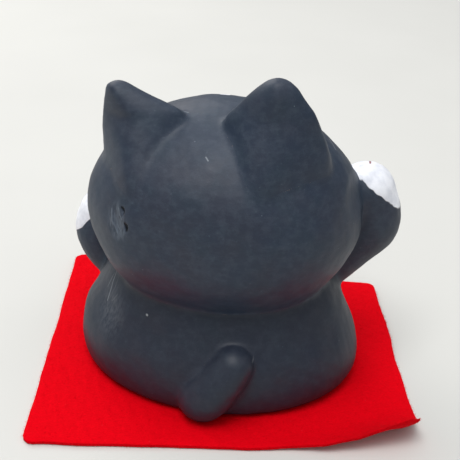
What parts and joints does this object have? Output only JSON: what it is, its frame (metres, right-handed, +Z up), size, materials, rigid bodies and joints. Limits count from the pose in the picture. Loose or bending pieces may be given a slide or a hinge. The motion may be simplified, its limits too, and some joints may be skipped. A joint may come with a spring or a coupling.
{
  "type": "beckoning cat figurine",
  "caption": "Small hollow fired-clay cat with both paws raised, a short tail, a collar with a bell, and a felt mat that it stands loose on.",
  "frame": {"origin": "centre of the felt mat's underside", "axes": "+Z up; +X along the mat's long side, which is the cat's left; the cat looks towards -Y, turned 12 degrees to its right"},
  "size_m": [0.0744, 0.0675, 0.0653],
  "materials": {
    "felt": "matte red wool felt",
    "painted_clay": "matte blue-black paint on fired clay",
    "white_clay": "matte white paint on fired clay",
    "red_paint": "matte red paint on fired clay",
    "gold_paint": "gold paint on fired clay"
  },
  "bodies": {
    "mat": {"felt_mat": "felt"},
    "figurine": {"body_front_shell": "painted_clay", "body_back_shell": "painted_clay", "head_front_shell": "painted_clay", "head_back_shell": "painted_clay", "left_ear": "painted_clay", "right_ear": "painted_clay", "left_paw": "painted_clay", "right_paw": "painted_clay", "tail": "painted_clay", "left_foot": "white_clay", "right_foot": "white_clay", "collar": "red_paint", "bell": "gold_paint"}
  },
  "joints": [
    {"name": "lift_off", "type": "slide", "parent": "mat", "child": "figurine", "axis": [0, 0, 1], "range_m": [0, 0.03]}
  ]
}
